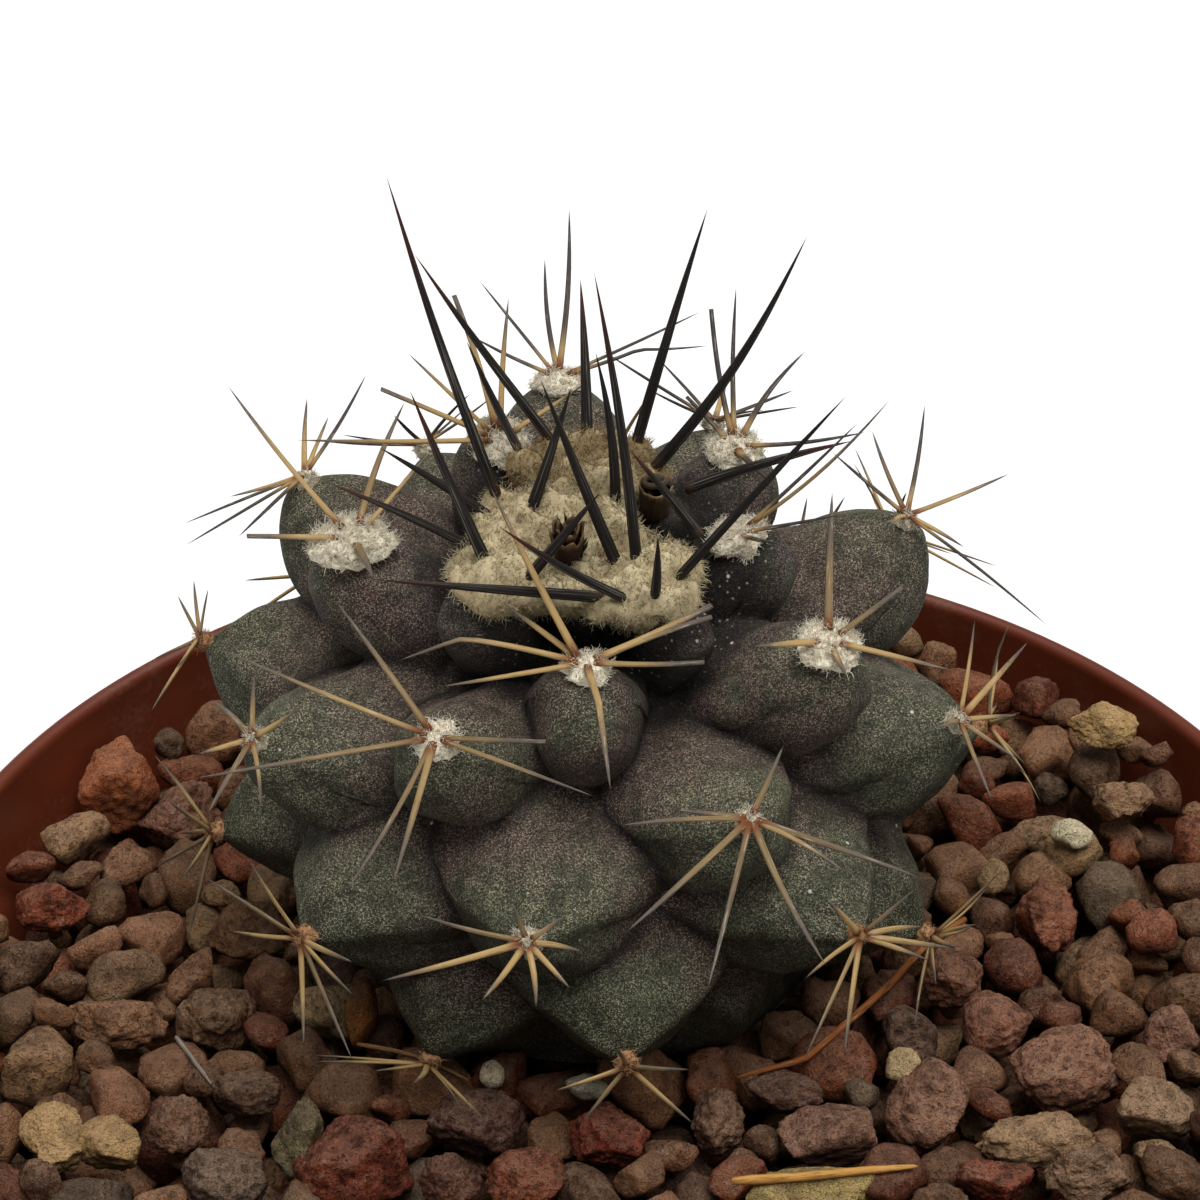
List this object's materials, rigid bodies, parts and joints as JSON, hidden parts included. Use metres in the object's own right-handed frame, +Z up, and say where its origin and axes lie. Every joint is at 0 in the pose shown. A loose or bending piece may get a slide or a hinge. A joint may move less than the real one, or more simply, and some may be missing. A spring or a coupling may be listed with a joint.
{
  "type": "potted copiapoa cactus",
  "caption": "Low round cactus with chin-like tubercles, a woolly crown and long dark spines, standing in gravel in a round plastic pot.",
  "frame": {"origin": "centre of the pot's underside, on the surface that the pot stands on", "axes": "+Z up through the pot; the side of the plant that the picture shows faces -Y"},
  "size_m": [0.106, 0.106, 0.1332],
  "materials": {
    "pot_plastic": "thin moulded brown plastic, slightly satin",
    "lava_gravel": "rough porous volcanic stones, mixed red-brown, grey-brown and cream",
    "cactus_skin": "dull grey-green to purple-brown skin with fine pale speckle",
    "wool": "matted cream wool",
    "dry_petal": "dry brown petals",
    "spines": "hard horn-coloured spines with dark tips, fibrous"
  },
  "bodies": {
    "root": {"pot": "pot_plastic", "gravel_bed": "lava_gravel", "cactus_body": "cactus_skin", "crown_wool": "wool", "withered_flower": "dry_petal", "areole_03": "spines", "areole_04": "spines", "areole_05": "spines", "areole_06": "spines", "areole_07": "spines", "areole_08": "spines", "areole_09": "spines", "areole_10": "spines", "areole_11": "spines", "areole_12": "spines", "areole_13": "spines", "areole_14": "spines", "areole_15": "spines", "areole_16": "spines", "areole_17": "spines", "areole_18": "spines", "areole_19": "spines", "areole_20": "spines", "areole_21": "spines", "areole_22": "spines", "areole_23": "spines", "areole_24": "spines", "areole_25": "spines", "areole_26": "spines", "areole_27": "spines", "areole_28": "spines", "areole_29": "spines", "areole_30": "spines", "areole_31": "spines"}
  },
  "joints": []
}
